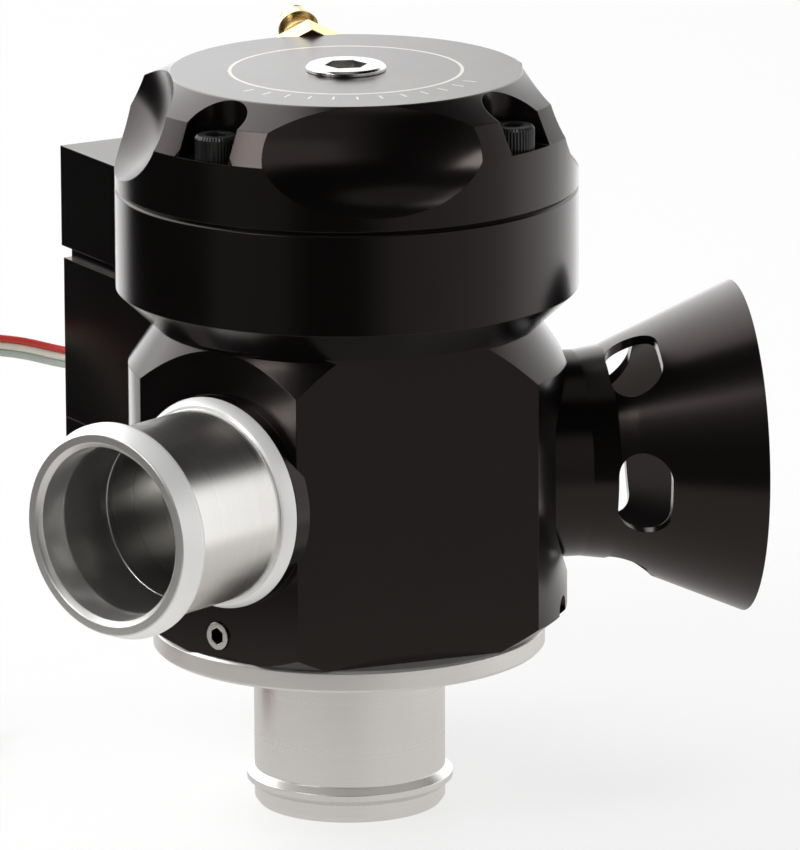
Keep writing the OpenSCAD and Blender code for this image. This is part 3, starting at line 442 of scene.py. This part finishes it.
def makeCapScrews():
    bpy.ops.object.select_all(action="DESELECT")
    side = capScrew["headH"] - capScrew["bevel"]
    bpy.ops.mesh.primitive_cylinder_add(vertices=2 * capScrew["knurls"], radius=capScrew["headR"], depth=side,
                                        location=(0, 0, side / 2))
    screw = bpy.context.object
    bpy.ops.object.transform_apply()
    bpy.ops.object.mode_set(mode="EDIT")
    bpy.ops.mesh.select_all(action="DESELECT")
    bpy.ops.mesh.select_mode(type="VERT")
    bpy.ops.object.mode_set(mode="OBJECT")
    for vertex in screw.data.vertices:  # every other line of the knurl stands in
        vertex.select = vertex.index // 2 % 2 == 0
    bpy.ops.object.mode_set(mode="EDIT")
    bpy.ops.transform.resize(value=(capScrew["knurlScale"], capScrew["knurlScale"], 1))
    bpy.ops.mesh.select_mode(type="FACE")
    pickFaces(screw, lambda face: face.normal.z > 0.9)
    bpy.ops.mesh.extrude_region_move(TRANSFORM_OT_translate={"value": (0, 0, capScrew["bevel"])})
    bpy.ops.transform.resize(value=(capScrew["topScale"], capScrew["topScale"], 1))
    pickFaces(screw, lambda face: face.normal.z < -0.9)
    bpy.ops.mesh.inset(thickness=capScrew["headR"] - capScrew["shankR"])
    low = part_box("cap_screws")[0][2] - capScrew["under"]
    bpy.ops.mesh.extrude_region_move(TRANSFORM_OT_translate={"value": (0, 0, low)})
    bpy.ops.object.mode_set(mode="OBJECT")
    bpy.ops.object.select_all(action="DESELECT")
    bpy.ops.mesh.primitive_cylinder_add(vertices=6, radius=capScrew["socket"] / 2 / cos(pi / 6),
                                        depth=2 * capScrew["socketDeep"], location=(0, 0, capScrew["headH"]))
    key = bpy.context.object
    bpy.context.view_layer.objects.active = screw
    cut = screw.modifiers.new("socket", "BOOLEAN")
    cut.object = key
    cut.solver = "EXACT"
    bpy.ops.object.modifier_apply(modifier=cut.name)
    bpy.data.objects.remove(key)
    screw.data.materials.append(oxide.material)
    screws = [screw]
    while len(screws) < len(capScrew["turns"]):
        screws.append(bpy.data.objects.new("cap_screw", screw.data.copy()))
        bpy.context.scene.collection.objects.link(screws[-1])
    bpy.ops.object.select_all(action="DESELECT")
    for one, degrees in zip(screws, capScrew["turns"]):
        turn = radians(degrees)
        place = Vector((capScrew["circle"] * cos(turn), capScrew["circle"] * sin(turn), capScrew["under"]))
        one.data.transform(Matrix.Translation(place) @ Matrix.Rotation(turn, 4, "Z"))
        one.select_set(True)
    bpy.context.view_layer.objects.active = screw
    bpy.ops.object.join()
    bpy.ops.object.shade_smooth_by_angle(angle=capScrew["smooth"])
    screw.name = "cap_screws_knurled"
    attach(screw, "housing")
    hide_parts("cap_screws")
    print("cap screws with", len(screw.data.polygons), "faces")


makeCapScrews()

returnTail = {"sides": 128, "smooth": radians(24), "profile": (  # out from the axis and along it, in mm
    (10.75, 22), (11.9, 22), (11.9, 26.3), (13.7, 26.3), (13.8, 26.42), (13.08, 28), (12.98, 28.1),
    (12.62, 28.1), (12.52, 28.16), (12.5, 28.3), (12.5, 43.4), (12.36, 43.5), (12.36, 43.66), (13.8, 44.22),
    (13.95, 44.36), (14, 44.6), (14, 45.1), (13.1, 47.45), (12.95, 47.6), (11.95, 47.6),
    (11.4, 47.1), (11.25, 46.9), (11.05, 43.1), (11, 42.9), (11, 35), (10.9, 34.95))}


def makeReturnTail():
    bpy.ops.object.select_all(action="DESELECT")
    steps = returnTail["profile"]
    bpy.ops.mesh.primitive_circle_add(vertices=returnTail["sides"], radius=steps[0][0] * mm,
                                      location=(0, 0, steps[0][1] * mm))
    tail = bpy.context.object
    bpy.ops.object.transform_apply()
    bpy.ops.object.mode_set(mode="EDIT")
    bpy.ops.mesh.select_all(action="SELECT")
    for (out, along), (nextOut, nextAlong) in zip(steps, steps[1:] + steps[:1]):
        bpy.ops.mesh.extrude_edges_move(TRANSFORM_OT_translate={"value": (0, 0, (nextAlong - along) * mm)})
        bpy.ops.transform.resize(value=(nextOut / out, nextOut / out, 1))
    bpy.ops.mesh.select_all(action="SELECT")
    bpy.ops.mesh.remove_doubles(threshold=0.001 * mm)
    bpy.ops.mesh.normals_make_consistent(inside=False)
    bpy.ops.object.mode_set(mode="OBJECT")
    centre, axis = returnSide
    tail.matrix_world = Matrix.Translation(centre) @ Vector(axis).to_track_quat("Z", "Y").to_matrix().to_4x4()
    bpy.ops.object.transform_apply()
    bpy.ops.object.shade_smooth_by_angle(angle=returnTail["smooth"])
    tail.name = "return_tail"
    tail.data.materials.append(finishes["outlet_tail"].material)
    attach(tail, "housing")
    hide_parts("outlet_tail")
    print("return tail with", len(tail.data.polygons), "faces")


makeReturnTail()

view = {"pitch": 14.03, "roll": 0.25, "turn": 10, "across": 6.7615 * mm, "height": 50.294 * mm,
        "away": 1.2414, "lens": 404.3, "sensor": 36, "near": 0.05, "far": 20}


def makeCamera():
    turn, pitch, roll = (radians(view[name]) for name in ("turn", "pitch", "roll"))
    right = Vector((cos(turn), -sin(turn), 0))
    level = Vector((sin(turn), cos(turn), 0))
    ahead = level * cos(pitch) - Vector((0, 0, sin(pitch)))
    up = right.cross(ahead)
    aim = right * view["across"] + Vector((0, 0, view["height"]))
    tilted = Matrix((right * cos(roll) - up * sin(roll), up * cos(roll) + right * sin(roll), -ahead))
    lens = bpy.data.cameras.new("photoCamera")
    lens.lens = view["lens"]
    lens.sensor_width = view["sensor"]
    lens.sensor_fit = "AUTO"
    lens.clip_start = view["near"]
    lens.clip_end = view["far"]
    camera = bpy.data.objects.new("photoCamera", lens)
    camera.matrix_world = Matrix.Translation(aim - ahead * view["away"]) @ tilted.transposed().to_4x4()
    bpy.context.scene.collection.objects.link(camera)
    bpy.context.scene.camera = camera


makeCamera()
print("camera ready")

studio = {
    "floor": (0.98, 0.98, 0.975), "floorWhite": 0.72, "floorSize": 6, "floorDrop": 0.05 * mm,
    "paper": 130 * mm, "paperEdge": 14 * mm, "paperLevel": 0.73,  # the bright floor that low pieces mirror
    "paperColour": (1, 0.97, 0.94, 1),
    "lamps": (("overhead", (-0.8, 0.5, 1.4), 0.8, 12, False),  # place, size, power, mirrored or not
              ("key", (-0.979, -0.543, 0.845), 0.5, 7, True)),
    "lampAim": (0, 0, 0.05), "world": 0.46,
    # what shiny pieces see round them, by degrees to the right of the camera: 180 is behind the part
    "around": ((-180, 1.9), (-148, 1.9), (-136, 0), (-76, 0), (-66, 0.22), (-32, 0.2), (-22, 0), (6, 0),
               (26, 0.44), (44, 0.5), (80, 0.8), (97, 1.35), (130, 1.6), (165, 1.9), (180, 1.9)),
    "upTo": 0.51, "upSoft": 0.11, "behind": 154, "behindSoft": 5, "behindUp": 0.14,
    "below": 0.12, "belowFrom": 0.6, "belowSoft": 0.15, "top": 0.3, "topFrom": 0.95, "topSoft": 0.02,
    "boxes": (((-131, 36, 7), (0.545, 0.375, 0.05), 3),  # degrees round, height, level
              ((54, 26, 8), (0.25, 0.24, 0.06), 0.95)),
    "warm": (1, 0.98, 0.965), "warmTo": 1.2, "warmSoft": 0.5,
}


class Surroundings(Finish):  # the world's own nodes
    def __init__(self, world):
        self.tree = world.node_tree


def makeWorld():
    world = bpy.data.worlds.new("studio")
    bpy.context.scene.world = world
    world.use_nodes = True
    sky = Surroundings(world)
    ray = sky.add("TexCoord", out="Generated")
    x, y, z = (sky.add("SeparateXYZ", {}, {0: ray}, out=i) for i in range(3))
    camera = radians(-90 - view["turn"])
    front = x * cos(camera) + y * sin(camera)
    right = y * cos(camera) - x * sin(camera)
    angle = right.math("ARCTAN2", right, front)
    ramp = sky.add("ValToRGB", {}, {0: angle / (2 * pi) + 0.5})
    stops = ramp.socket.node.color_ramp.elements
    for degrees, level in studio["around"]:
        place = degrees / 360 + 0.5
        stop = stops[round(place)] if place in (0, 1) else stops.new(place)
        stop.color = (level, level, level, 1)
    behind = abs(angle).above(radians(studio["behind"]), radians(studio["behindSoft"]))
    high = (z - behind * studio["behindUp"]).above(studio["upTo"], studio["upSoft"])
    low = (0 - z).above(studio["belowFrom"], studio["belowSoft"])
    top = z.above(studio["topFrom"], studio["topSoft"])
    seen = ramp * (1 - high) * (1 - low) + studio["below"] * low + studio["top"] * top
    for across, rise, level in studio["boxes"]:
        box = angle.within(*(radians(degrees) for degrees in across)) * z.within(*rise)
        seen = seen * (1 - box) + level * box
    glossy = sky.add("LightPath", out="Is Glossy Ray")
    direct = sky.add("LightPath", out="Is Camera Ray")
    shine = world.node_tree.nodes["Background"]
    shown = seen * glossy + 2 * (1 - glossy)  # rays that aren't mirrored stay white
    pure = shown.above(studio["warmTo"], studio["warmSoft"])
    sky.feed(shine.inputs["Color"], sky.blend(pure, studio["warm"], (1, 1, 1)))
    sky.feed(shine.inputs["Strength"], glossy * seen + direct + (1 - glossy) * (1 - direct) * studio["world"])


def makeFloor():
    bpy.ops.object.select_all(action="DESELECT")
    bpy.ops.mesh.primitive_plane_add(size=studio["floorSize"], location=(0, 0, -studio["floorDrop"]))
    floor = bpy.context.object
    floor.name = "studio_floor"
    paper = Finish("floorPaper", roughness=0.5, baseColor=studio["floor"], specular=0.2)
    matt = Value(paper, paper.shader.outputs[0])
    bright = paper.add("Emission", {}, {"Color": (1, 1, 1, 1), "Strength": 1})
    near = paper.add("Emission", {}, {"Color": studio["paperColour"], "Strength": studio["paperLevel"]})
    clear = paper.add("BsdfTransparent")
    glossy = paper.add("LightPath", out="Is Glossy Ray")
    direct = paper.add("LightPath", out="Is Camera Ray")
    lit = paper.add("MixShader", {}, {0: direct * studio["floorWhite"], 1: matt, 2: bright})
    far = paper.turned(*upright)[1].above(studio["paper"], studio["paperEdge"])
    mirrored = paper.add("MixShader", {}, {0: far, 1: near, 2: clear})
    seen = paper.add("MixShader", {}, {0: glossy, 1: lit, 2: mirrored})
    paper.feed(paper.tree.nodes["Material Output"].inputs["Surface"], seen)
    floor.data.materials.append(paper.material)


def makeStudio():
    makeFloor()
    for name, place, size, power, mirrored in studio["lamps"]:
        lamp = bpy.data.lights.new(name, "AREA")
        lamp.size = size
        lamp.energy = power
        light = bpy.data.objects.new(name, lamp)
        light.location = place
        light.visible_glossy = mirrored
        ahead = Vector(studio["lampAim"]) - light.location
        light.rotation_euler = ahead.to_track_quat("-Z", "Y").to_euler()
        bpy.context.scene.collection.objects.link(light)
    makeWorld()


makeStudio()
bpy.context.scene.view_settings.view_transform = "Standard"
print("studio ready")
